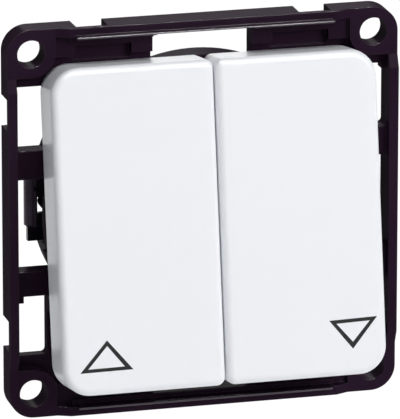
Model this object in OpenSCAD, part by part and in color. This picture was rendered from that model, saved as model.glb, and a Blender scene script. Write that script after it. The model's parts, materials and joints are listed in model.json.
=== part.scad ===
// Roller shutter switch with two tilting rockers in a square carrier plate.
// X runs to the right, Z up and -Y out of the wall. The wall face of the plate is Y = 0,
// and the origin is the centre of the four corner holes on that face.

/* [Carrier plate] */
// Side length of the square carrier plate
plate_w = 71; // [70:0.5:82]
// Corner radius of the carrier plate
plate_corner_r = 4.5; // [3:0.5:6]
// Depth of the corner pads from the wall face
pad_depth = 4.4; // [4:0.2:6]
// Side length of a corner pad
pad_w = 8.8; // [8:0.2:10]
// Radius of the inward corner of a corner pad
pad_round = 4.2; // [2:0.2:4.8]
// How far the rim stands in front of the corner pads
rim_rise = 1; // [0.6:0.2:2]
// Width of the rim outside the windows
rim_w = 1.7; // [1.5:0.1:2.4]
// Diameter of the four corner holes
hole_d = 5; // [3:0.2:6]
// Distance from a corner hole to the plate's edge
hole_inset = 4.45; // [4:0.05:5]
// Depth of the web outside the rockers
web_depth = 3.5; // [3:0.1:4]
// Depth of the plate under the rockers
floor_depth = 2; // [1.6:0.1:2.4]
// Height of the lip on the inner edge of the top and bottom rim
lip_rise = 1.3; // [0.6:0.1:2]
// Thickness of that lip
lip_t = 0.5; // [0.4:0.1:0.8]
// Length of that lip
lip_len = 46.6; // [40:0.2:48]
// Distance from the centre line to the sunk part under the ends of the rockers
sunk_from = 16.4; // [15:0.1:16.6]

/* [Plate windows] */
// Width of the window in the middle of each side
mid_window = 18; // [14:0.5:20]
// Reach of a side window above the plate's centre line
side_up = 8.1; // [7:0.1:9]
// Reach of a side window below the plate's centre line
side_down = 8.8; // [7:0.1:9]
// Distance from the plate's centre line to a small side window
side_window_at = 13.3; // [12:0.1:14]
// Length of a small side window
side_window = 11.3; // [9:0.1:12]
// Width of a small side window, from the rim inwards
side_window_w = 5.8; // [5:0.1:6]
// Side of the step in the outer corner of a lower small window
window_step = 1.3; // [0.6:0.1:2]
// Width of the ledge along the rim in the bottom window
bottom_ledge = 1; // [0.8:0.1:1.2]
// Width of the shallow panel beside the middle window
panel_w = 3.8; // [3:0.1:5]
// Width of the deep pocket beside that panel
pocket_w = 10.2; // [8:0.1:11]
// Height of the deep pocket
pocket_h = 2.9; // [2:0.1:3.2]
// Floor of the deep pocket, from the wall face
pocket_floor = 1.7; // [1:0.1:2.4]
// Width of the raised band along the rim above the panels
band_w = 1; // [0.6:0.1:1.6]
// Width of the web between the rim and the deep pocket
pocket_gap = 2; // [1.6:0.1:3]

/* [Edge notches] */
// Distance from the plate's centre line to a notch in its edge
notch_at = 17.4; // [15:0.1:19]
// Length of a notch
notch_len = 5.7; // [4:0.1:7]
// Depth of a notch
notch_depth = 1.2; // [0.6:0.1:1.3]

/* [Collar and base] */
// Outer diameter of the collar behind the plate
collar_d = 56.6; // [55:0.2:57]
// Wall of the collar
collar_t = 1.8; // [1.4:0.1:2.4]
// Depth of the collar behind the wall face
collar_back = 3; // [2:0.5:5]
// Diameter of the base's shoulder behind the collar
shoulder_d = 54.8; // [54:0.2:56]
// Length of that shoulder
shoulder_len = 9.8; // [8:0.2:12]
// Wall of the base at the sides
base_wall = 1.6; // [1.2:0.1:2.2]
// Thickness of the base's back
back_wall = 3; // [2:0.5:4]
// Width of the step round the base's back
back_step = 0.8; // [0.4:0.1:1.2]
// How far the base widens behind the claws' tabs
claw_step = 1.5; // [1:0.1:1.6]
// Wall between the contact chamber and a terminal chamber
chamber_wall = 1; // [0.8:0.1:1.4]
// Thickness of the mechanism cover
cover_t = 2; // [1.8:0.1:2.2]
// Clearance between pieces that slot together
fit_gap = 0.15; // [0.1:0.05:0.3]
// Width of the four tabs that hold the cover in the plate
tab_w = 8; // [6:0.5:10]

/* [Rockers] */
// Distance from the plate's edge to the upper and lower ends of the rockers
rocker_margin = 6.6; // [6:0.1:8]
// Distance from the plate's edge to the sides of the pair of rockers
rocker_side_margin = 6.075; // [6:0.025:8]
// Gap between the two rockers
rocker_gap = 0.3; // [0.3:0.1:1]
// How far the pair of rockers sits to the right of the plate's centre
pair_shift = 0.225; // [0:0.025:0.3]
// Depth of a rocker from its face to the back of its skirt
rocker_depth = 8.75; // [8:0.05:10]
// Wall of a rocker's skirt
rocker_wall = 1.5; // [1.2:0.1:2]
// Thickness of a rocker's face
rocker_face = 2; // [1.6:0.1:2.4]
// Corner radius at the outer corners of the pair
rocker_corner_r = 5; // [3:0.5:7]
// Corner radius beside the gap
rocker_inner_r = 1.6; // [1:0.1:2.5]
// Rounding of the front edges
rocker_edge_r = 1.3; // [0.5:0.1:1.5]
// Tilt of a rocker each way from its middle position
rocker_tilt = 9; // [7:0.5:10]
// How far the skirt reaches behind the pivot
pivot_lead = 0.35; // [0:0.05:1]
// Clearance between the skirt and the plate at full tilt
rocker_clear = 0.55; // [0.3:0.05:1.5]

/* [Toggles] */
// Distance from the centre line to the middle of each toggle
toggle_at = 12; // [11.8:0.1:12.4]
// Width of a toggle between its bearing ears
toggle_w = 14; // [13:0.5:14]
// Height of a toggle's plate
toggle_h = 24; // [20:1:30]
// Thickness of a toggle's plate
toggle_t = 2; // [1.5:0.1:2.5]
// Gap between the rocker's face and the toggle's plate
toggle_stand = 1.2; // [0.8:0.1:2]
// Diameter of a pivot pin
pin_d = 3; // [2:0.1:3.4]
// Radial clearance of a pivot pin in its ear
pin_clear = 0.05; // [0.02:0.01:0.1]
// Thickness of a bearing ear
ear_t = 1.6; // [1.2:0.1:2]
// Outer diameter of the neck that holds the plunger
neck_d = 6; // [5.6:0.1:6.6]
// Diameter of the plunger
plunger_d = 4; // [3.6:0.1:4.2]
// Diameter of the plunger's nose
nose_d = 2.4; // [2:0.1:2.8]
// Distance from the pivot to the tip of the nose
tip_reach = 12; // [11.5:0.1:12.5]
// Travel of the plunger into its neck
plunger_travel = 1; // [0.6:0.1:1.2]

/* [Contacts] */
// Half length of a contact lever
lever_arm = 7.5; // [7:0.1:8]
// Thickness of a contact lever
lever_t = 1; // [0.8:0.1:1.2]
// Width of a contact lever
lever_w = 4.4; // [4:0.1:4.6]
// Diameter of a lever's pivot
lever_pin_d = 2; // [1.6:0.1:2.2]
// Distance from the pivot to the contact button
contact_arm = 6; // [5:0.1:6]
// Diameter of a contact button
contact_d = 3.2; // [2.4:0.1:3.4]
// Height of a contact button
contact_h = 0.6; // [0.4:0.1:0.8]
// Thickness of the rails
rail_t = 1; // [0.8:0.1:1.2]
// Width of the line rail
line_rail_w = 3.2; // [2.6:0.1:4]

/* [Terminals] */
// Distance from the centre line to an output terminal
terminal_at = 8; // [7.8:0.1:8.4]
// Width of a terminal cage
cage_w = 7; // [6.4:0.1:7.2]
// Height of a terminal cage
cage_h = 6.6; // [6.4:0.1:7]
// Length of a terminal cage along the wire
cage_len = 7; // [5:0.5:8]
// Wall of a terminal cage
cage_wall = 1; // [0.8:0.1:1.2]
// Gap in front of a terminal cage, behind its rail
cage_space = 3.4; // [2:0.2:5]
// Gap behind a terminal cage
cage_back_gap = 1.5; // [1:0.1:2]
// Travel of a cage as its screw is turned
cage_travel = 1.9; // [1:0.1:2.1]
// Diameter of a terminal screw
screw_d = 3; // [2.6:0.1:3.4]
// Diameter of a terminal screw's head
screw_head_d = 5.2; // [4.6:0.1:5.4]
// Height of a terminal screw's head
screw_head_h = 1.5; // [1.2:0.1:2]
// Diameter of a wire entry hole
wire_hole_d = 3.4; // [2.4:0.1:3.6]

/* [Claws] */
// Distance from the centre line to the outer face of a claw
claw_at = 29.3; // [29.1:0.1:29.5]
// Height of a claw
claw_h = 13; // [12:0.5:13]
// Thickness of the claw's sheet
claw_t = 1.2; // [1:0.1:1.3]
// Distance from the wall face to the middle of the claw's tab
claw_tab_at = 8.2; // [7.8:0.1:8.4]
// Length of the claw's arm behind its bend
claw_arm = 10; // [8:0.5:12]
// How far the claw's arm leans inwards
claw_lean = 20; // [16:1:22]
// Radius of the claw's bend, to the middle of the sheet
claw_bend_r = 1.4; // [1.2:0.1:1.6]
// Radius of the curved rib pressed into the claw's tab
claw_rib_r = 4; // [3:0.5:4]
// Height of that rib's lowest point above the screw
claw_rib_at = 2.3; // [2.2:0.1:2.6]
// Distance from the claw's fulcrum to its screw
claw_lever = 2.8; // [2.6:0.1:3]
// Distance from the centre line to a claw screw
claw_screw_at = 25.2; // [25:0.1:25.4]
// Diameter of a claw screw
claw_screw_d = 2.8; // [2.6:0.1:3]
// Diameter of a claw screw's head
claw_head_d = 5; // [4.5:0.1:5.4]

/* [Hidden] */

plate_dark = [0.10, 0.07, 0.10];
housing_grey = [0.30, 0.30, 0.32];
rocker_white = [0.94, 0.95, 0.96];
toggle_white = [0.82, 0.83, 0.80];
brass = [0.80, 0.65, 0.35];
steel = [0.62, 0.62, 0.64];

// More than any size, for cuts that run right through
far = 100;
half_w = plate_w / 2;
rim_in = half_w - rim_w;
pad_in = half_w - pad_w;
rim_front = pad_depth + rim_rise;
lip_r = lip_t / 2;
hole_at = half_w - hole_inset;
collar_r = collar_d / 2;
collar_in = collar_r - collar_t;
rocker_h = plate_w - 2 * rocker_margin;
rocker_w = (plate_w - 2 * rocker_side_margin - rocker_gap) / 2;
// Half side of the sunk floor that the rockers swing over
floor_half = max(rocker_h / 2 + 1, rocker_gap / 2 + rocker_w + pair_shift + 0.25);
pocket_out = mid_window / 2 + panel_w + pocket_w;

base_r = collar_in - 2 * fit_gap;

// The rocker's pivot stands so far out that the skirt clears the sunk floor at full tilt
pivot_y = -(floor_depth + rocker_clear + rocker_h / 2 * sin(rocker_tilt)
    + pivot_lead * cos(rocker_tilt));
face_y = pivot_lead - rocker_depth;
face_back = face_y + rocker_face;
toggle_front = face_back + toggle_stand;
toggle_back = toggle_front + toggle_t;
toggle_side = toggle_w / 2;
ear_gap = 0.3;
ear_r = pin_d / 2 + 1.5;
pin_len = ear_gap + ear_t + 0.1;
bore_gap = 0.1;
plunger_r = plunger_d / 2;
nose_r = nose_d / 2;
neck_end = tip_reach - 3.4;
bore_floor = 0.7;
plunger_shoulder = tip_reach - 3;
cup_wall = 0.5;
cup_floor = 1;
cup_open = 4;
coil_wire_r = 0.2;
coil_r = plunger_r - cup_wall - bore_gap - coil_wire_r;
coil_start = bore_floor + 0.25;
coil_end = plunger_shoulder - cup_floor - plunger_travel - 0.35;
coil_turns = 5;
coil_sides = 8;
coil_steps = 12;

hook_edge = 2.7;
hook_x = 4.5;
hook_z = toggle_h / 2 - hook_edge;
hook_w = 2.4;
hook_t = 1.2;
hook_lip = 0.4;

// The lever's axis lies on its back face, one nose gap behind the plunger's tip
nose_gap = 0.05;
lever_y = pivot_y + tip_reach + nose_gap + lever_t;
lever_pin_r = lever_pin_d / 2;
contact_y = lever_y + contact_h * cos(rocker_tilt)
    + (contact_arm + contact_d / 2) * sin(rocker_tilt) + 0.1;
line_rail_y = lever_y + lever_pin_r + 0.35;
output_rail_y = contact_y + contact_h;
stop_y = lever_y + lever_arm * sin(rocker_tilt) + 0.1;
cradle_t = 0.9;
cradle_gap = 0.3;
cradle_h = 4;
rail_half = toggle_at + lever_w / 2 + cradle_gap + cradle_t;

mech_z = contact_arm + 3.4;
chamber_z = mech_z + chamber_wall;
chamber_half = cage_w / 2 + 0.3;
cage_at = chamber_z + 0.3;
tongue_t = 0.9;
tongue_half = cage_w / 2 - cage_wall - 0.2;
tongue_at = cage_at + cage_wall + wire_hole_d;
chamber_top = cage_at + cage_h + cage_travel + 0.3;
cage_front = output_rail_y + rail_t + cage_space;
cage_back = cage_front + cage_len;
cage_mid = cage_front + cage_len / 2;
chamber_back = cage_back + cage_back_gap;
tongue_back = chamber_back - 0.5;
base_depth = chamber_back + back_wall;
screw_seat = chamber_top + 0.6;
wire_z = cage_at + cage_wall + wire_hole_d / 2;
base_h = 2 * (screw_seat + screw_head_h);
floor_y = output_rail_y + rail_t;

// The claw turns about the round inner end of its tab
claw_pivot_r = claw_t / 2;
claw_pivot_x = claw_screw_at - claw_lever;
claw_pivot_y = claw_tab_at;
claw_swing = 24;
base_w = 2 * (claw_pivot_x - claw_pivot_r - 0.1);
mech_half = base_w / 2 - base_wall;
claw_gap_half = claw_h / 2 + 0.3;
claw_gap_reach = 6;
claw_slot_in = (claw_screw_at - claw_pivot_x - claw_screw_d / 2) - 0.25;
claw_slot_out = (claw_screw_at - claw_pivot_x + claw_screw_d / 2) / cos(claw_swing)
    + claw_t / 2 * tan(claw_swing) + 0.05;
claw_head_h = 1.8;
claw_arm_low = 2.5;
claw_tooth = 0.8;
claw_tooth_len = 1.6;
claw_notch = 1.4;
claw_rib_t = 0.3;
claw_rib_w = 0.5;
claw_screw_back = 2.4;

cover_screw_r = 1.1;
cover_head_r = 2.1;
cover_head_h = 1.1;
cover_cross = 1.3;
cover_cross_w = 0.5;
cover_screw_len = base_depth - 1;
cover_screw_gap = 7;
cover_screw_rise = 4.6;
cover_screw_side = chamber_half + cover_screw_gap;
cover_screw_z = mech_z + cover_screw_rise;
cover_screw_spots = [[0, cover_screw_z], [-cover_screw_side, -cover_screw_z],
    [cover_screw_side, -cover_screw_z]];
tab_r = collar_r - 0.3;

slider_half = 5.2;
slider_z = -7.5;
slider_h = 3;
slider_front = 2.4;
slider_travel = 0.6;
foot_t = 1;
foot_tip = 2.6;

// Extrudes a drawing in the plane of the plate from Y = front to Y = back
module slab(front, back) {
    translate([0, back, 0])
        rotate([90, 0, 0])
            linear_extrude(back - front)
                children();
}

// A cylinder along Y
module rod(r, front, back) {
    slab(front, back)
        circle(r, $fn = 64);
}

// A cylinder along X through a point of the side view
module bar(r, left, right, y = 0, z = 0) {
    translate([left, y, z])
        rotate([0, 90, 0])
            cylinder(h = right - left, r = r, $fn = 48);
}

// A box between two opposite corners
module block(low, high) {
    translate(low)
        cube(high - low);
}

// A square with rounded corners, centred on the origin
module rounded_square(w, r) {
    square([w, w - 2 * r], center = true);
    square([w - 2 * r, w], center = true);
    for (sx = [-1, 1], sz = [-1, 1])
        translate([sx * (w / 2 - r), sz * (w / 2 - r)])
            circle(r, $fn = 64);
}

// A rectangle with rounded corners between two opposite corners
module rounded_window(low, high, r) {
    translate([low[0] + r, low[1]])
        square([high[0] - low[0] - 2 * r, high[1] - low[1]]);
    translate([low[0], low[1] + r])
        square([high[0] - low[0], high[1] - low[1] - 2 * r]);
    for (x = [low[0] + r, high[0] - r], z = [low[1] + r, high[1] - r])
        translate([x, z])
            circle(r, $fn = 32);
}

module corner_pad_2d() {
    intersection() {
        rounded_square(plate_w, plate_corner_r);
        union() {
            translate([pad_in + pad_round, pad_in])
                square([pad_w, pad_w]);
            translate([pad_in, pad_in + pad_round])
                square([pad_w, pad_w]);
            translate([pad_in + pad_round, pad_in + pad_round])
                circle(pad_round, $fn = 64);
        }
    }
}

// The rim's front layer over one side, with its slanted ends, drawn for the top side
module rim_front_layer() {
    slant = 2.3;
    flat_half = pad_in - slant;
    translate([0, 0, rim_in])
        linear_extrude(rim_w)
            polygon([[-pad_in, -pad_depth + 0.2], [-pad_in, -pad_depth],
                [-flat_half, -rim_front], [flat_half, -rim_front],
                [pad_in, -pad_depth], [pad_in, -pad_depth + 0.2]]);
}

// One notch in the back of the top rim: its left flank is chamfered
module edge_notch_2d(x) {
    translate([x, half_w])
        polygon([[-notch_len, 0.5], [-notch_len, 0], [-notch_len + notch_depth, -notch_depth],
            [0, -notch_depth], [0, 0.5]]);
}

module plate_windows_2d() {
    for (side = [0, 1])
        mirror([0, side])
            difference() {
                translate([-mid_window / 2, 0])
                    square([mid_window, rim_in - side * bottom_ledge]);
                circle(collar_r, $fn = 128);
            }
    for (side = [0, 1])
        mirror([side, 0])
            difference() {
                translate([0, -side_down])
                    square([rim_in, side_down + side_up]);
                circle(collar_r, $fn = 128);
            }
    for (sx = [-1, 1], sz = [-1, 1])
        mirror([sx < 0 ? 1 : 0, 0])
            mirror([0, sz < 0 ? 1 : 0])
                difference() {
                    rounded_window([rim_in - side_window_w, side_window_at],
                        [rim_in, side_window_at + side_window], 0.8);
                    circle(collar_r, $fn = 128);
                    if (sz < 0)
                        translate([rim_in - window_step, side_window_at - 0.1])
                            square([window_step + 0.1, window_step]);
                    else
                        translate([rim_in - window_step / 2, side_window_at + side_window - 1])
                            square([window_step, 2]);
                }
}

// The bead along the inner edge of the top rim, with a rounded front
module rim_lip() {
    translate([-lip_len / 2, 0, rim_in - 0.2 + lip_r])
        rotate([90, 0, 90])
            linear_extrude(lip_len) {
                translate([-rim_front - lip_rise + lip_r, 0])
                    circle(lip_r, $fn = 24);
                translate([-rim_front - lip_rise + lip_r, -lip_r])
                    square([lip_rise + rim_front - web_depth - lip_r, lip_t]);
            }
}

// The collar is open where a claw passes behind the plate
module claw_gap() {
    for (side = [-1, 1])
        block([side * collar_r - claw_gap_reach, 0, -claw_gap_half],
            [side * collar_r + claw_gap_reach, far, claw_gap_half]);
}

// The outline of the four tabs of the mechanism cover
module tab_shape(r, w) {
    intersection() {
        circle(r, $fn = 96);
        for (a = [45, 135])
            rotate(a)
                square([4 * collar_r, w], center = true);
    }
}

module carrier_plate() {
    step_w = 1.4;
    step_h = 0.8;
    color(plate_dark)
        difference() {
            union() {
                slab(-pad_depth, 0)
                    difference() {
                        rounded_square(plate_w, plate_corner_r);
                        square(2 * rim_in, center = true);
                    }
                slab(-pad_depth, 0)
                    for (sx = [0, 1], sz = [0, 1])
                        mirror([sx, 0])
                            mirror([0, sz])
                                corner_pad_2d();
                slab(-web_depth, 0)
                    difference() {
                        square(2 * rim_in + 0.2, center = true);
                        for (side = [0, 1])
                            mirror([0, side])
                                translate([-rim_in, sunk_from])
                                    square([2 * rim_in, floor_half - sunk_from]);
                    }
                slab(-floor_depth, 0)
                    square([2 * rim_in + 0.2, 2 * floor_half + 0.2], center = true);
                rod(collar_r, -floor_depth, collar_back);
                for (side = [0 : 3])
                    rotate([0, 90 * side, 0])
                        rim_front_layer();
                for (side = [0, 180])
                    rotate([0, side, 0]) {
                        rim_lip();
                        block([-pocket_out - 1, -pad_depth, rim_in - band_w],
                            [pocket_out + 1, -0.5, rim_in + 0.1]);
                    }
            }
            difference() {
                rod(collar_in, -far, far);
                for (side = [-1, 1])
                    block([side * claw_screw_at - 2.2, -floor_depth, -4],
                        [side * claw_screw_at + 2.2, 0, 4]);
            }
            difference() {
                slab(-far, far)
                    plate_windows_2d();
                translate([0, 0, rim_in])
                    slab(-web_depth, 0)
                        polygon([[-mid_window / 2 - 1, 0.1], [-mid_window / 2 - 1, -step_h],
                            [-mid_window / 2 + step_w / 2, -step_h],
                            [-mid_window / 2 + step_w, -step_h / 4],
                            [-mid_window / 2 + step_w, 0.1]]);
            }
            claw_gap();
            for (side = [-1, 1])
                translate([side * claw_screw_at, 0, 0]) {
                    rod(claw_screw_d / 2 + fit_gap, -far, far);
                    rod(claw_head_d / 2 + 2 * fit_gap, -far, -floor_depth);
                }
            for (sx = [-1, 1], sz = [-1, 1])
                translate([sx * hole_at, 0, sz * hole_at])
                    rod(hole_d / 2, -far, far);
            slab(-floor_depth - 1, -floor_depth + 1)
                tab_shape(tab_r, tab_w + 2 * fit_gap);
            slab(-pad_depth, 1)
                for (x = [-notch_at, notch_at + notch_len], side = [0, 1])
                    mirror([0, side])
                        edge_notch_2d(x);
            slab(-pad_depth, 1)
                for (z = [notch_at, -notch_at - notch_len], side = [0, 1])
                    mirror([side, 0])
                        rotate(90)
                            mirror([1, 0])
                                edge_notch_2d(-z);
            for (sx = [0, 1], sz = [0, 1])
                mirror([sx, 0, 0])
                    mirror([0, 0, sz])
                        block([mid_window / 2 + panel_w, -far, rim_in - pocket_gap - pocket_h],
                            [pocket_out, -pocket_floor, rim_in - pocket_gap]);
        }
}

module base_outline_2d(r, w, h) {
    intersection() {
        circle(r, $fn = 128);
        square([w, h], center = true);
    }
}

// Places children at the two output terminals above and the line terminal below
module at_terminal(which) {
    if (which == "up")
        translate([-terminal_at, 0, 0])
            children();
    if (which == "down")
        translate([terminal_at, 0, 0])
            children();
    if (which == "line")
        mirror([0, 0, 1])
            children();
}

// A chamber runs right through the base, and the cover and the back close it
module terminal_chamber(rail_back) {
    block([-chamber_half, -1, chamber_z], [chamber_half, chamber_back + 1, chamber_top]);
    block([-tongue_half - fit_gap, -1, mech_z - 1],
        [tongue_half + fit_gap, rail_back + fit_gap, chamber_z + 1]);
    translate([0, cage_mid, 0]) {
        cylinder(h = far, r = screw_d / 2 + fit_gap, $fn = 48);
        translate([0, 0, screw_seat])
            cylinder(h = far, r = screw_head_d / 2 + fit_gap, $fn = 48);
    }
}

// The recess in the base's side that a claw stands in, with the step that its tab turns on
module claw_seat() {
    tab_front = claw_pivot_y - claw_pivot_r;
    block([base_w / 2 + claw_step, collar_back, -claw_gap_half], [far, far, claw_gap_half]);
    difference() {
        block([base_w / 2, collar_back, -claw_gap_half],
            [far, claw_pivot_y + claw_pivot_r + fit_gap, claw_gap_half]);
        block([base_w / 2 - 1, tab_front - 2, -claw_h / 2],
            [claw_pivot_x + fit_gap, tab_front - fit_gap, claw_h / 2]);
    }
}

module base_housing() {
    rib_t = 2;
    color(housing_grey) {
        difference() {
            union() {
                slab(0, chamber_back)
                    base_outline_2d(base_r, base_w, base_h);
                slab(collar_back + fit_gap, collar_back + shoulder_len)
                    base_outline_2d(shoulder_d / 2, shoulder_d, base_h);
            }
            block([-mech_half, -1, -mech_z], [mech_half, floor_y, mech_z]);
            at_terminal("up") terminal_chamber(output_rail_y + rail_t);
            at_terminal("down") terminal_chamber(output_rail_y + rail_t);
            at_terminal("line") terminal_chamber(line_rail_y + rail_t);
            for (side = [0, 1])
                mirror([side, 0, 0])
                    claw_seat();
            for (spot = cover_screw_spots)
                translate([spot[0], 0, spot[1]])
                    rod(cover_screw_r + 0.05, -1, far);
        }
        for (side = [-1, 1])
            translate([side * toggle_at, 0, 0])
                block([-rib_t / 2, stop_y, -lever_arm - 0.5],
                    [rib_t / 2, floor_y + 0.5, -lever_arm + 2]);
        block([-rail_half, line_rail_y + rail_t, -line_rail_w / 2],
            [rail_half, floor_y + 0.5, line_rail_w / 2]);
    }
}

// The back closes the chambers, and the three wires come in through it
module base_back() {
    color(housing_grey)
        difference() {
            slab(chamber_back, base_depth)
                base_outline_2d(base_r - back_step, base_w - 2 * back_step, base_h - 2 * back_step);
            for (which = ["up", "down", "line"])
                at_terminal(which)
                    translate([0, 0, wire_z])
                        rod(wire_hole_d / 2, chamber_back - 1, base_depth + 1);
            for (spot = cover_screw_spots)
                translate([spot[0], 0, spot[1]])
                    rod(cover_screw_r + 0.05, 0, cover_screw_len);
        }
}

// Two bearing ears that carry the pivot pins of one toggle
module bearing_ears() {
    for (side = [-1, 1]) {
        inner = toggle_side + ear_gap;
        left = side > 0 ? inner : -inner - ear_t;
        difference() {
            union() {
                bar(ear_r, left, left + ear_t, pivot_y);
                block([left, pivot_y, -ear_r], [left + ear_t, 0, ear_r]);
            }
            bar(pin_d / 2 + pin_clear, left - 1, left + ear_t + 1, pivot_y);
        }
    }
}

module mechanism_cover() {
    window_half = neck_d / 2 + 0.6;
    window_z = neck_d / 2 / cos(rocker_tilt) + (cover_t - pivot_y) * sin(rocker_tilt) + 0.6;
    color(housing_grey)
        difference() {
            union() {
                slab(-cover_t, 0)
                    base_outline_2d(base_r, base_w, base_h);
                slab(-floor_depth, -floor_depth + 1 - fit_gap)
                    tab_shape(tab_r - fit_gap, tab_w);
                for (side = [-1, 1])
                    translate([side * toggle_at, 0, 0])
                        bearing_ears();
                for (side = [-1, 1])
                    translate([0, 0, slider_z + side * (slider_h / 2 + fit_gap + 0.5)])
                        block([-2.6, -cover_t - slider_front, -0.5], [2.6, -1, 0.5]);
            }
            for (side = [-1, 1])
                block([side * toggle_at - window_half, -cover_t - 0.01, -window_z],
                    [side * toggle_at + window_half, 1, window_z]);
            for (spot = cover_screw_spots)
                translate([spot[0], 0, spot[1]]) {
                    rod(cover_screw_r + 0.05, -far, far);
                    rod(cover_head_r + fit_gap, -far, -cover_t + cover_head_h);
                }
        }
}

module cover_screws() {
    color(steel)
        for (spot = cover_screw_spots)
            translate([spot[0], 0, spot[1]])
                difference() {
                    union() {
                        rod(cover_head_r, -cover_t, -cover_t + cover_head_h);
                        rod(cover_screw_r, -cover_t + cover_head_h - 0.2, cover_screw_len - 0.5);
                    }
                    for (a = [0, 90])
                        rotate([0, a, 0])
                            block([-cover_cross, -cover_t - 1, -cover_cross_w / 2],
                                [cover_cross, -cover_t + cover_head_h / 2, cover_cross_w / 2]);
                }
}

// A rail's riser and the tongue that passes through its terminal cage
module rail_riser(y, low) {
    block([-tongue_half, y, low], [tongue_half, y + rail_t, tongue_at + tongue_t]);
    block([-tongue_half, y, tongue_at], [tongue_half, tongue_back, tongue_at + tongue_t]);
}

module line_rail() {
    color(brass) {
        block([-rail_half, line_rail_y, -line_rail_w / 2],
            [rail_half, line_rail_y + rail_t, line_rail_w / 2]);
        at_terminal("line")
            rail_riser(line_rail_y, 0);
        for (side = [-1, 1], ear = [-1, 1])
            translate([side * toggle_at + ear * (lever_w / 2 + cradle_gap + cradle_t / 2), 0, 0])
                difference() {
                    block([-cradle_t / 2, lever_y - 0.7, -cradle_h / 2],
                        [cradle_t / 2, line_rail_y + 0.1, cradle_h / 2]);
                    bar(lever_pin_r + pin_clear, -1, 1, lever_y);
                    block([-1, lever_y - 2, -lever_pin_r - pin_clear],
                        [1, lever_y, lever_pin_r + pin_clear]);
                }
    }
}

module output_rail(which) {
    side = which == "up" ? -1 : 1;
    pad_half = 2;
    pad_low = contact_arm - contact_d / 2 - 0.2;
    link_low = contact_arm + 1.2;
    far_x = side * (toggle_at + pad_half);
    near_x = side * terminal_at;
    color(brass) {
        block([side * toggle_at - pad_half, output_rail_y, pad_low],
            [side * toggle_at + pad_half, output_rail_y + rail_t, link_low + 1.8]);
        block([min(far_x, near_x), output_rail_y, link_low],
            [max(far_x, near_x), output_rail_y + rail_t, link_low + 1.8]);
        translate([side * toggle_at, 0, contact_arm])
            rod(contact_d / 2, contact_y, output_rail_y + 0.1);
        at_terminal(which)
            rail_riser(output_rail_y, link_low);
    }
}

module up_contact_rail() {
    output_rail("up");
}

module down_contact_rail() {
    output_rail("down");
}

// Profile of a round corner post whose front edge is rounded, for rotate_extrude
function post_profile(r, edge, h) = concat([[0, 0], [r, 0]],
    [for (i = [0 : 6]) [r - edge + edge * cos(i * 15), h - edge + edge * sin(i * 15)]], [[0, h]]);

module corner_post(x, z, r) {
    translate([x, pivot_lead, z])
        rotate([90, 0, 0])
            rotate_extrude($fn = 48)
                polygon(post_profile(r, rocker_edge_r, rocker_depth));
}

// The rocker's cap in its middle position, drawn to the right of the centre line
module rocker_cap(shift) {
    left = shift + rocker_gap / 2;
    right = left + rocker_w;
    top = rocker_h / 2;
    cavity_r = max(rocker_corner_r - rocker_wall, 1);
    color(rocker_white)
        difference() {
            hull()
                for (side = [-1, 1]) {
                    corner_post(left + rocker_inner_r, side * (top - rocker_inner_r), rocker_inner_r);
                    corner_post(right - rocker_corner_r, side * (top - rocker_corner_r),
                        rocker_corner_r);
                }
            slab(face_back, far)
                rounded_window([left + rocker_wall, -top + rocker_wall],
                    [right - rocker_wall, top - rocker_wall], cavity_r);
        }
    color(rocker_white)
        for (x = [toggle_at - hook_x, toggle_at + hook_x], side = [-1, 1])
            mirror([0, 0, side < 0 ? 1 : 0]) {
                block([x - hook_w / 2 - 0.6, face_back - 0.5, hook_z - hook_t / 2 - 0.6],
                    [x + hook_w / 2 + 0.6, toggle_front, hook_z + hook_t / 2 + 0.6]);
                block([x - hook_w / 2, face_back, hook_z - hook_t / 2],
                    [x + hook_w / 2, toggle_back + 0.8, hook_z + hook_t / 2]);
                block([x - hook_w / 2, toggle_back + 0.05, hook_z - hook_t / 2],
                    [x + hook_w / 2, toggle_back + 0.8, hook_z + hook_t / 2 + fit_gap + hook_lip]);
            }
}

// The toggle in its middle position, centred on its own line. Its foot stands beside the
// end of the interlock slider when the rocker is on
module toggle_body() {
    cheek_t = 1.2;
    foot_x = slider_half + slider_travel + fit_gap - toggle_at;
    color(toggle_white)
        difference() {
            union() {
                difference() {
                    block([-toggle_side, toggle_front, -toggle_h / 2],
                        [toggle_side, toggle_back, toggle_h / 2]);
                    for (x = [-hook_x, hook_x], z = [-hook_z, hook_z])
                        block([x - hook_w / 2 - fit_gap, -far, z - hook_t / 2 - fit_gap],
                            [x + hook_w / 2 + fit_gap, far, z + hook_t / 2 + fit_gap]);
                }
                for (side = [-1, 1]) {
                    left = side > 0 ? toggle_side - cheek_t : -toggle_side;
                    bar(ear_r, left, left + cheek_t);
                    block([left, toggle_back - 0.2, -ear_r], [left + cheek_t, 0, ear_r]);
                    bar(pin_d / 2, side > 0 ? left : left + cheek_t - pin_len - cheek_t,
                        side > 0 ? left + cheek_t + pin_len : left + cheek_t);
                }
                rod(neck_d / 2, toggle_back - 0.2, neck_end);
                block([foot_x, toggle_back - 0.2, slider_z - 1.2],
                    [foot_x + foot_t, foot_tip, slider_z + 1.2]);
            }
            rod(plunger_r + bore_gap, bore_floor, far);
        }
}

// The plunger is a cup over its spring with a round nose
module plunger_body() {
    color(toggle_white)
        difference() {
            union() {
                rod(plunger_r, cup_open, plunger_shoulder);
                rod(nose_r, plunger_shoulder - 0.2, tip_reach - nose_r);
                translate([0, tip_reach - nose_r, 0])
                    sphere(nose_r, $fn = 32);
            }
            rod(plunger_r - cup_wall, 0, plunger_shoulder - cup_floor);
        }
}

// One ring of points of the spring's wire
function coil_ring(i) =
    let (a = 360 * i / coil_steps,
        y = coil_start + coil_wire_r
            + (coil_end - coil_start - 2 * coil_wire_r) * i / (coil_turns * coil_steps))
    [for (j = [0 : coil_sides - 1])
        let (b = 360 * j / coil_sides, r = coil_r + coil_wire_r * cos(b))
        [r * cos(a), y + coil_wire_r * sin(b), r * sin(a)]];

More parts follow.
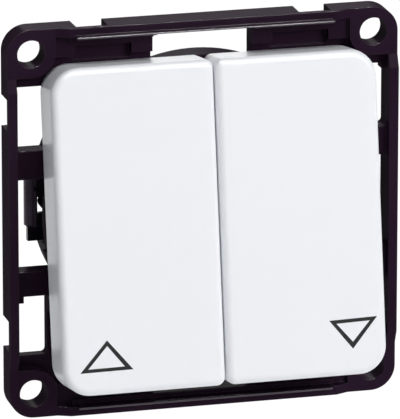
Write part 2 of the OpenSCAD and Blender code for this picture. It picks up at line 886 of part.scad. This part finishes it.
module spring_body() {
    rings = coil_turns * coil_steps;
    points = [for (i = [0 : rings]) each coil_ring(i)];
    walls = [for (i = [0 : rings - 1], j = [0 : coil_sides - 1])
        let (a = i * coil_sides + j, b = i * coil_sides + (j + 1) % coil_sides)
        [a, b, b + coil_sides, a + coil_sides]];
    start = [for (j = [0 : coil_sides - 1]) coil_sides - 1 - j];
    end = [for (j = [0 : coil_sides - 1]) rings * coil_sides + j];
    color(steel)
        polyhedron(points = points, faces = concat([start], walls, [end]), convexity = 10);
}

// Puts a piece drawn in its middle position on its pivot, tilted as at rest: off
module at_rest_tilt() {
    translate([0, pivot_y, 0])
        rotate([-rocker_tilt, 0, 0])
            children();
}

module on_side(which) {
    mirror([which == "up" ? 1 : 0, 0, 0])
        children();
}

module up_rocker() {
    on_side("up") at_rest_tilt() rocker_cap(-pair_shift);
}

module down_rocker() {
    on_side("down") at_rest_tilt() rocker_cap(pair_shift);
}

module up_toggle() {
    on_side("up") at_rest_tilt() translate([toggle_at, 0, 0]) toggle_body();
}

module down_toggle() {
    on_side("down") at_rest_tilt() translate([toggle_at, 0, 0]) toggle_body();
}

module up_plunger() {
    at_rest_tilt() translate([-toggle_at, 0, 0]) plunger_body();
}

module down_plunger() {
    at_rest_tilt() translate([toggle_at, 0, 0]) plunger_body();
}

module up_spring() {
    at_rest_tilt() translate([-toggle_at, 0, 0]) spring_body();
}

module down_spring() {
    at_rest_tilt() translate([toggle_at, 0, 0]) spring_body();
}

// A seesaw of brass: the plunger's nose tips it, and its upper end closes the contact
module contact_lever() {
    color(brass)
        translate([toggle_at, lever_y, 0])
            rotate([rocker_tilt, 0, 0]) {
                block([-lever_w / 2, -lever_t, -lever_arm], [lever_w / 2, 0, lever_arm]);
                bar(lever_pin_r, -lever_w / 2 - cradle_gap - cradle_t + 0.1,
                    lever_w / 2 + cradle_gap + cradle_t - 0.1);
                translate([0, 0, contact_arm])
                    rod(contact_d / 2, -0.1, contact_h);
            }
}

module up_contact_lever() {
    on_side("up") contact_lever();
}

module down_contact_lever() {
    on_side("down") contact_lever();
}

module interlock_slider() {
    nose = 0.8;
    color(toggle_white)
        translate([0, -cover_t - 0.05, slider_z - slider_h / 2])
            linear_extrude(slider_h)
                polygon([[-slider_half, 0], [-slider_half, -slider_front + nose],
                    [-slider_half + nose, -slider_front], [slider_half - nose, -slider_front],
                    [slider_half, -slider_front + nose], [slider_half, 0]]);
}

// A cage that is drawn up by its screw and clamps the wire under the rail's tongue
module terminal_cage() {
    color(steel)
        translate([0, cage_mid, cage_at])
            difference() {
                block([-cage_w / 2, -cage_len / 2, 0], [cage_w / 2, cage_len / 2, cage_h]);
                block([-cage_w / 2 + cage_wall, -far, cage_wall],
                    [cage_w / 2 - cage_wall, far, cage_h - cage_wall - 0.2]);
                cylinder(h = far, r = screw_d / 2 + pin_clear, $fn = 48);
            }
}

module terminal_screw() {
    head_top = base_h / 2;
    color(steel)
        translate([0, cage_mid, 0])
            difference() {
                union() {
                    translate([0, 0, tongue_at + tongue_t + 0.05])
                        cylinder(h = screw_seat - tongue_at - tongue_t, r = screw_d / 2, $fn = 48);
                    translate([0, 0, screw_seat + 0.05])
                        cylinder(h = head_top - screw_seat - 0.05, r = screw_head_d / 2, $fn = 48);
                }
                block([-far, -0.4, head_top - 0.9], [far, 0.4, far]);
            }
}

module line_cage() {
    at_terminal("line") terminal_cage();
}

module up_cage() {
    at_terminal("up") terminal_cage();
}

module down_cage() {
    at_terminal("down") terminal_cage();
}

module line_screw() {
    at_terminal("line") terminal_screw();
}

module up_screw() {
    at_terminal("up") terminal_screw();
}

module down_screw() {
    at_terminal("down") terminal_screw();
}

// The side view of the claw's bend and arm, seen from above, for linear_extrude
module claw_arm_2d() {
    bend_out = claw_bend_r + claw_t / 2;
    translate([claw_at - bend_out, claw_pivot_y + claw_bend_r]) {
        intersection() {
            difference() {
                circle(bend_out, $fn = 48);
                circle(bend_out - claw_t, $fn = 48);
            }
            polygon([[0, 0], [0, -2 * bend_out], [2 * bend_out, -2 * bend_out],
                [2 * bend_out, 2 * bend_out * tan(claw_lean)]]);
        }
        rotate(claw_lean) {
            translate([bend_out - claw_t, -0.01])
                square([claw_t, claw_arm - claw_tooth_len + 0.02]);
            translate([bend_out, claw_arm - claw_tooth_len])
                polygon([[-claw_t, 0], [0, 0], [claw_tooth, claw_tooth_len],
                    [-claw_t, claw_tooth_len]]);
        }
    }
}

module claw_rib_2d() {
    inner = claw_screw_at + 0.4;
    intersection() {
        translate([inner, claw_rib_at + claw_rib_r])
            difference() {
                circle(claw_rib_r + claw_rib_w / 2, $fn = 64);
                circle(claw_rib_r - claw_rib_w / 2, $fn = 64);
            }
        translate([inner, 0])
            square([claw_at - claw_t - inner, claw_h / 2 - 0.2]);
    }
}

// The right claw: a tab across its screw, a bend, and an outer arm with a toothed end
module claw_body() {
    low = -claw_h / 2;
    arm_low = low + claw_arm_low;
    bend_out = claw_bend_r + claw_t / 2;
    color(steel)
        difference() {
            union() {
                translate([claw_pivot_x, claw_pivot_y, low])
                    cylinder(h = claw_h, r = claw_pivot_r, $fn = 32);
                block([claw_pivot_x, claw_pivot_y - claw_t / 2, low],
                    [claw_at - bend_out + 0.01, claw_pivot_y + claw_t / 2, claw_h / 2]);
                block([claw_pivot_x, claw_pivot_y - claw_t / 2, low],
                    [claw_at - 0.2, claw_pivot_y + claw_t / 2, arm_low]);
                translate([0, 0, arm_low])
                    linear_extrude(claw_h - claw_arm_low)
                        claw_arm_2d();
                slab(claw_pivot_y - claw_t / 2 - claw_rib_t, claw_pivot_y)
                    claw_rib_2d();
            }
            block([claw_pivot_x + claw_slot_in, -far, -claw_screw_d / 2 - 0.1],
                [claw_pivot_x + claw_slot_out, claw_pivot_y + claw_t, claw_screw_d / 2 + 0.1]);
            translate([claw_at - bend_out, claw_pivot_y + claw_bend_r, 0])
                rotate([0, 0, claw_lean])
                    for (z = [0.25, 0.5, 0.75])
                        translate([bend_out + claw_tooth, claw_arm, arm_low + z * (claw_h - claw_arm_low)])
                            rotate([90, 45, 0])
                                cube([claw_notch, claw_notch, 3 * claw_tooth_len], center = true);
        }
}

module claw_screw_body() {
    color(steel)
        translate([claw_screw_at, 0, 0])
            difference() {
                union() {
                    rod(claw_head_d / 2, -floor_depth - 0.05 - claw_head_h, -floor_depth - 0.05);
                    rod(claw_screw_d / 2, -floor_depth - 0.2, claw_pivot_y + claw_screw_back);
                }
                block([-far, -far, -0.4], [far, -floor_depth - claw_head_h + 0.9, 0.4]);
            }
}

module left_claw() {
    mirror([1, 0, 0]) claw_body();
}

module right_claw() {
    claw_body();
}

module left_claw_screw() {
    mirror([1, 0, 0]) claw_screw_body();
}

module right_claw_screw() {
    claw_screw_body();
}

carrier_plate();
base_housing();
base_back();
mechanism_cover();
cover_screws();
line_rail();
up_contact_rail();
down_contact_rail();
up_rocker();
down_rocker();
up_toggle();
down_toggle();
up_spring();
down_spring();
up_plunger();
down_plunger();
up_contact_lever();
down_contact_lever();
interlock_slider();
line_cage();
up_cage();
down_cage();
line_screw();
up_screw();
down_screw();
left_claw();
right_claw();
left_claw_screw();
right_claw_screw();
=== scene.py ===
import json
import math

import bmesh
import bpy
from mathutils import Matrix, Vector


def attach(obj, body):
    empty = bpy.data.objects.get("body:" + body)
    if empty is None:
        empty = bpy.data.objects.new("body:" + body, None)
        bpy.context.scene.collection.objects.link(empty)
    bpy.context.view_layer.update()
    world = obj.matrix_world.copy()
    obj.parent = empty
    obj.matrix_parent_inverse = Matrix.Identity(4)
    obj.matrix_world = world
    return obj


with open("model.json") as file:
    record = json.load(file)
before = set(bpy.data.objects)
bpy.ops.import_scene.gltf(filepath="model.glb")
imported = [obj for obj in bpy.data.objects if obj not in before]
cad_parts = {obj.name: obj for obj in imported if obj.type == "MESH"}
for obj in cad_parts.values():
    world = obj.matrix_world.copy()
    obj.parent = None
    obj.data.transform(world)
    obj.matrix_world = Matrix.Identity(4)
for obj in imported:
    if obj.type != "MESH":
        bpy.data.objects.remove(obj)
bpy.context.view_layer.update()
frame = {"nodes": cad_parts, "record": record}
MM = 0.001

# Camera

CAMERA_AZIMUTH = math.radians(-14.794)
CAMERA_ELEVATION = math.radians(16.322)
CAMERA_DISTANCE = 1.17115
SENSOR_HEIGHT = 36.0
LENS_LENGTH = 567.39
LENS_SHIFT = (0.0069, -0.0086)

toward = Vector((math.cos(CAMERA_ELEVATION) * math.sin(CAMERA_AZIMUTH),
                 -math.cos(CAMERA_ELEVATION) * math.cos(CAMERA_AZIMUTH),
                 math.sin(CAMERA_ELEVATION)))
right = Vector((math.cos(CAMERA_AZIMUTH), math.sin(CAMERA_AZIMUTH), 0.0))
upward = toward.cross(right)
camera_data = bpy.data.cameras.new("camera")
camera = bpy.data.objects.new("camera", camera_data)
bpy.context.scene.collection.objects.link(camera)
turn = Matrix((right, upward, toward)).transposed().to_4x4()
camera.matrix_world = Matrix.Translation(toward * CAMERA_DISTANCE) @ turn
camera_data.sensor_fit = "VERTICAL"
camera_data.sensor_height = SENSOR_HEIGHT
camera_data.lens = LENS_LENGTH
camera_data.shift_x, camera_data.shift_y = LENS_SHIFT
camera_data.clip_start = 0.05
camera_data.clip_end = 30.0
bpy.context.scene.camera = camera

# Materials


CLOUD_SCALE = 60.0
ROUGH_SCALE = 300.0
BEVEL_SAMPLES = 6
EDGE_COAT = 0.5

# Height of the rim's lips from the middle, half their thickness and a little more, and the
# front of the rim that they stand out of, in mm
LIP_Z = 33.85
LIP_HALF = 0.31
LIP_Y = -5.7


def new_material(name):
    mat = bpy.data.materials.new(name)
    mat.use_nodes = True
    nodes = mat.node_tree.nodes
    nodes.clear()
    out = nodes.new("ShaderNodeOutputMaterial")
    bsdf = nodes.new("ShaderNodeBsdfPrincipled")
    mat.node_tree.links.new(bsdf.outputs["BSDF"], out.inputs["Surface"])
    return mat, mat.node_tree, bsdf


def calculate(tree, operation, *values):
    """The result of a math node. Its values are numbers or the results of other nodes."""
    node = tree.nodes.new("ShaderNodeMath")
    node.operation = operation
    for socket, value in zip(node.inputs, values):
        if isinstance(value, (int, float)):
            socket.default_value = value
        else:
            tree.links.new(value, socket)
    return node.outputs[0]


def noise(tree, scale, detail=3.0, roughness=0.5, stretch=(1, 1, 1)):
    """Noise that stays with the piece as it moves."""
    coord = tree.nodes.new("ShaderNodeTexCoord")
    mapping = tree.nodes.new("ShaderNodeMapping")
    mapping.inputs["Scale"].default_value = stretch
    tex = tree.nodes.new("ShaderNodeTexNoise")
    tex.inputs["Scale"].default_value = scale
    tex.inputs["Detail"].default_value = detail
    tex.inputs["Roughness"].default_value = roughness
    tree.links.new(coord.outputs["Object"], mapping.inputs["Vector"])
    tree.links.new(mapping.outputs["Vector"], tex.inputs["Vector"])
    return tex.outputs["Fac"]


def spread(tree, factor, low, high, start=0.3, end=0.7):
    """A factor from start to end, stretched from low to high."""
    rng = tree.nodes.new("ShaderNodeMapRange")
    rng.inputs["From Min"].default_value = start
    rng.inputs["From Max"].default_value = end
    rng.inputs["To Min"].default_value = low
    rng.inputs["To Max"].default_value = high
    tree.links.new(factor, rng.inputs["Value"])
    return rng.outputs["Result"]


def tones(tree, factor, dark, light, start=0.35, end=0.65):
    """A factor turned into a blend of two colours."""
    ramp = tree.nodes.new("ShaderNodeValToRGB")
    ramp.color_ramp.elements[0].position = start
    ramp.color_ramp.elements[1].position = end
    ramp.color_ramp.elements[0].color = (*dark, 1)
    ramp.color_ramp.elements[1].color = (*light, 1)
    tree.links.new(factor, ramp.inputs["Fac"])
    return ramp.outputs["Color"]


def bump(tree, bsdf, height, strength, distance, edge=0.0):
    """Fine grain in the surface, and rounded edges where edge is their radius in metres."""
    node = tree.nodes.new("ShaderNodeBump")
    if edge > 0:
        soft = tree.nodes.new("ShaderNodeBevel")
        soft.samples = BEVEL_SAMPLES
        soft.inputs["Radius"].default_value = edge
        tree.links.new(soft.outputs["Normal"], node.inputs["Normal"])
    node.inputs["Strength"].default_value = strength
    node.inputs["Distance"].default_value = distance
    tree.links.new(height, node.inputs["Height"])
    tree.links.new(node.outputs["Normal"], bsdf.inputs["Normal"])


def edge_shine(tree, bumped, plain, worn):
    """The coat is stronger at the edges of faces that look forwards.

    There the rounded normal leaves the flat one."""
    flat = tree.nodes.new("ShaderNodeNewGeometry")
    dot = tree.nodes.new("ShaderNodeVectorMath")
    dot.operation = "DOT_PRODUCT"
    tree.links.new(bumped.inputs["Normal"].links[0].from_socket, dot.inputs[0])
    tree.links.new(flat.outputs["True Normal"], dot.inputs[1])
    split = tree.nodes.new("ShaderNodeSeparateXYZ")
    tree.links.new(flat.outputs["True Normal"], split.inputs[0])
    near = spread(tree, dot.outputs["Value"], worn - plain, 0.0, 0.80, 0.98)
    front = spread(tree, split.outputs["Y"], 1.0, 0.0, -0.9, -0.4)
    return calculate(tree, "MULTIPLY_ADD", near, front, plain)


def lip_shine(tree, coat):
    """The coat is full on the polished lips of the top and bottom rim."""
    coord = tree.nodes.new("ShaderNodeTexCoord")
    split = tree.nodes.new("ShaderNodeSeparateXYZ")
    tree.links.new(coord.outputs["Object"], split.inputs[0])
    height = calculate(tree, "ABSOLUTE", split.outputs["Z"])
    level = calculate(tree, "COMPARE", height, LIP_Z * MM, LIP_HALF * MM)
    proud = calculate(tree, "LESS_THAN", split.outputs["Y"], LIP_Y * MM)
    return calculate(tree, "MAXIMUM", calculate(tree, "MULTIPLY", level, proud), coat)


def plastic(name, dark, light, rough, grain, specular=0.5, coat=0.0, edge=0.0, depth=0.00001):
    mat, tree, bsdf = new_material(name)
    bsdf.inputs["Specular IOR Level"].default_value = specular
    cloud = noise(tree, CLOUD_SCALE, 2.0)
    tree.links.new(tones(tree, cloud, dark, light), bsdf.inputs["Base Color"])
    tree.links.new(spread(tree, noise(tree, ROUGH_SCALE), *rough), bsdf.inputs["Roughness"])
    bump(tree, bsdf, noise(tree, grain, 2.0), 0.15, depth, edge)
    if coat > 0:
        bsdf.inputs["Coat Weight"].default_value = coat
        if edge > 0:
            shine = edge_shine(tree, bsdf.inputs["Normal"].links[0].from_node, coat, EDGE_COAT)
            tree.links.new(lip_shine(tree, shine), bsdf.inputs["Coat Weight"])
        bsdf.inputs["Coat Roughness"].default_value = rough[0]
        tree.links.new(bsdf.inputs["Normal"].links[0].from_socket, bsdf.inputs["Coat Normal"])
    return mat


def metal(name, dark, light, rough, stretch=(1, 1, 1), scale=900.0):
    mat, tree, bsdf = new_material(name)
    bsdf.inputs["Metallic"].default_value = 1.0
    cloud = noise(tree, 180.0, 4.0)
    tree.links.new(tones(tree, cloud, dark, light), bsdf.inputs["Base Color"])
    lines = noise(tree, scale, 3.0, 0.6, stretch)
    tree.links.new(spread(tree, lines, *rough), bsdf.inputs["Roughness"])
    bump(tree, bsdf, lines, 0.12, 0.00002)
    return mat


materials = {
    "plate_plastic": plastic("plate_gloss", (0.0165, 0.0072, 0.0172), (0.0215, 0.0100, 0.0222),
                             (0.20, 0.27), 2600.0, specular=0.0, coat=0.03, edge=0.0003),
    "housing_plastic": plastic("housing_matt", (0.024, 0.022, 0.025), (0.034, 0.032, 0.035),
                               (0.48, 0.62), 1800.0, specular=0.0, coat=0.12, depth=0.00003),
    "rocker_plastic": plastic("rocker_gloss", (0.848, 0.864, 0.894), (0.850, 0.866, 0.896),
                              (0.285, 0.305), 2200.0, specular=0.45),
    "toggle_plastic": plastic("toggle_natural", (0.62, 0.62, 0.57), (0.70, 0.70, 0.65),
                              (0.40, 0.50), 2000.0),
    "contact_brass": metal("stamped_brass", (0.55, 0.38, 0.15), (0.70, 0.52, 0.26), (0.22, 0.36)),
    "spring_steel": metal("spring_wire", (0.38, 0.38, 0.40), (0.50, 0.50, 0.52), (0.22, 0.32)),
    "cage_steel": metal("cage_zinc", (0.42, 0.43, 0.46), (0.58, 0.58, 0.60), (0.28, 0.42)),
    "zinc_steel": metal("screw_zinc", (0.50, 0.51, 0.54), (0.66, 0.66, 0.68), (0.20, 0.34)),
    # the claws get a near-black steel colour, darker than zinc plating
    "claw_steel": metal("claw_near_black", (0.014, 0.010, 0.016), (0.025, 0.019, 0.028), (0.3, 0.46),
                        (1, 1, 6)),
}
for entry in frame["record"]["subparts"]:
    obj = frame["nodes"][entry["node"]]
    material = materials[entry["material_slot"]]
    if not obj.material_slots:
        obj.data.materials.append(material)
    for slot in obj.material_slots:
        slot.material = material

ink, ink_tree, ink_bsdf = new_material("arrow_ink")
ink_cloud = noise(ink_tree, 700.0, 3.0)
ink_tree.links.new(tones(ink_tree, ink_cloud, (0.010, 0.012, 0.012), (0.016, 0.018, 0.018)),
                   ink_bsdf.inputs["Base Color"])
ink_bsdf.inputs["Roughness"].default_value = 0.45
ink_bsdf.inputs["Specular IOR Level"].default_value = 0.15

# Printed arrows

TILT = math.radians(-9.0)
PIVOT_Y = -7.41665
FACE_Y = -8.4
INK_SUNK = 0.01
INK_PROUD = 0.015


def from_rocker(x, y, z):
    """A point of the rocker in its middle position, in mm, as it lies at rest, in metres."""
    return Vector((x, PIVOT_Y + y * math.cos(TILT) - z * math.sin(TILT),
                   y * math.sin(TILT) + z * math.cos(TILT))) * MM


def outline_piece(name, outer, inner, body):
    """A closed printed line between two outlines, a little proud of the rocker's face."""
    bm = bmesh.new()
    levels = []
    for y in (FACE_Y + INK_SUNK, FACE_Y - INK_PROUD):
        levels.append([[bm.verts.new(from_rocker(x, y, z)) for x, z in ring]
                       for ring in (outer, inner)])
    (low_out, low_in), (top_out, top_in) = levels
    n = len(outer)
    for i in range(n):
        j = (i + 1) % n
        bm.faces.new((top_out[i], top_out[j], top_in[j], top_in[i]))
        bm.faces.new((low_out[j], low_out[i], low_in[i], low_in[j]))
        bm.faces.new((low_out[i], low_out[j], top_out[j], top_out[i]))
        bm.faces.new((low_in[j], low_in[i], top_in[i], top_in[j]))
    bmesh.ops.recalc_face_normals(bm, faces=bm.faces)
    mesh = bpy.data.meshes.new(name)
    bm.to_mesh(mesh)
    bm.free()
    piece = bpy.data.objects.new(name, mesh)
    bpy.context.scene.collection.objects.link(piece)
    mesh.materials.append(ink)
    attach(piece, body)
    return piece


outline_piece("up_arrow_print",
              [(-21.22, -19.15), (-26.25, -24.68), (-16.68, -24.60)],
              [(-21.24, -20.15), (-24.80, -24.06), (-18.20, -23.98)], "up_rocker_body")
outline_piece("down_arrow_print",
              [(19.14, -18.80), (27.92, -18.60), (23.32, -24.09)],
              [(20.45, -19.43), (26.55, -19.27), (23.36, -22.84)], "down_rocker_body")

# Stage and light

FLOOR_SIZE = 12.0
FLOOR_Z = -0.16
FLOOR_COLOR = (0.86, 0.86, 0.87, 1)
FLOOR_GLOW = 1.05
FLOOR_GLOW_SHARE = 0.9
FILL_COLOR = (0.97, 0.98, 1.0, 1)
FILL_STRENGTH = 0.15


def seen_rays(tree):
    """1 for camera, glossy and transmission rays, and 0 for the rays that light the object."""
    path = tree.nodes.new("ShaderNodeLightPath")
    seen = path.outputs["Is Camera Ray"]
    for name in ("Is Glossy Ray", "Is Transmission Ray"):
        seen = calculate(tree, "MAXIMUM", seen, path.outputs[name])
    return seen


def mix(tree, factor, first, second, out):
    """Both shaders, mixed by the factor, into an output node."""
    node = tree.nodes.new("ShaderNodeMixShader")
    tree.links.new(factor, node.inputs["Fac"])
    tree.links.new(first, node.inputs[1])
    tree.links.new(second, node.inputs[2])
    tree.links.new(node.outputs["Shader"], out.inputs["Surface"])


bpy.ops.mesh.primitive_plane_add(size=FLOOR_SIZE, location=(0, 0, FLOOR_Z))
floor = bpy.context.object
floor.name = "floor"
floor_mat, floor_tree, floor_bsdf = new_material("floor_white")
floor_bsdf.inputs["Base Color"].default_value = FLOOR_COLOR
floor_bsdf.inputs["Roughness"].default_value = 0.9
glow = floor_tree.nodes.new("ShaderNodeEmission")
glow.inputs["Strength"].default_value = FLOOR_GLOW
share = calculate(floor_tree, "MULTIPLY", seen_rays(floor_tree), FLOOR_GLOW_SHARE)
floor_out = next(n for n in floor_tree.nodes if n.type == "OUTPUT_MATERIAL")
mix(floor_tree, share, floor_bsdf.outputs["BSDF"], glow.outputs["Emission"], floor_out)
floor.data.materials.append(floor_mat)

world = bpy.data.worlds.new("studio")
bpy.context.scene.world = world
world.use_nodes = True
world_tree = world.node_tree
world_tree.nodes.clear()
world_out = world_tree.nodes.new("ShaderNodeOutputWorld")
fill = world_tree.nodes.new("ShaderNodeBackground")
fill.inputs["Color"].default_value = FILL_COLOR
fill.inputs["Strength"].default_value = FILL_STRENGTH
white = world_tree.nodes.new("ShaderNodeBackground")
white.inputs["Color"].default_value = (1, 1, 1, 1)
white.inputs["Strength"].default_value = 1.0
mix(world_tree, seen_rays(world_tree), fill.outputs["Background"], white.outputs["Background"],
    world_out)


def area(name, position, size, power):
    """A rectangular lamp that looks at the middle of the switch."""
    data = bpy.data.lights.new(name, "AREA")
    data.shape = "RECTANGLE"
    data.size, data.size_y = size
    data.energy = power
    obj = bpy.data.objects.new(name, data)
    bpy.context.scene.collection.objects.link(obj)
    obj.location = position
    aim = -Vector(position)
    obj.rotation_euler = aim.to_track_quat("-Z", "Y").to_euler()
    return obj


area("key", (0.9, -1.6, 0.9), (0.9, 0.9), 25.8)
area("front", (0.2, -1.8, -0.7), (0.8, 0.8), 8.0)
area("top", (-0.2, -0.35, 1.6), (0.5, 0.3), 6.5)
area("back", (0.4, 1.5, 0.8), (0.8, 0.8), 14.0)
glint = area("glint", (0.0, -0.7, 1.1), (1.2, 0.06), 45.0)
glint.visible_diffuse = False  # a strip that only the gloss shows, along rounded edges

bpy.context.scene.view_settings.view_transform = "Standard"
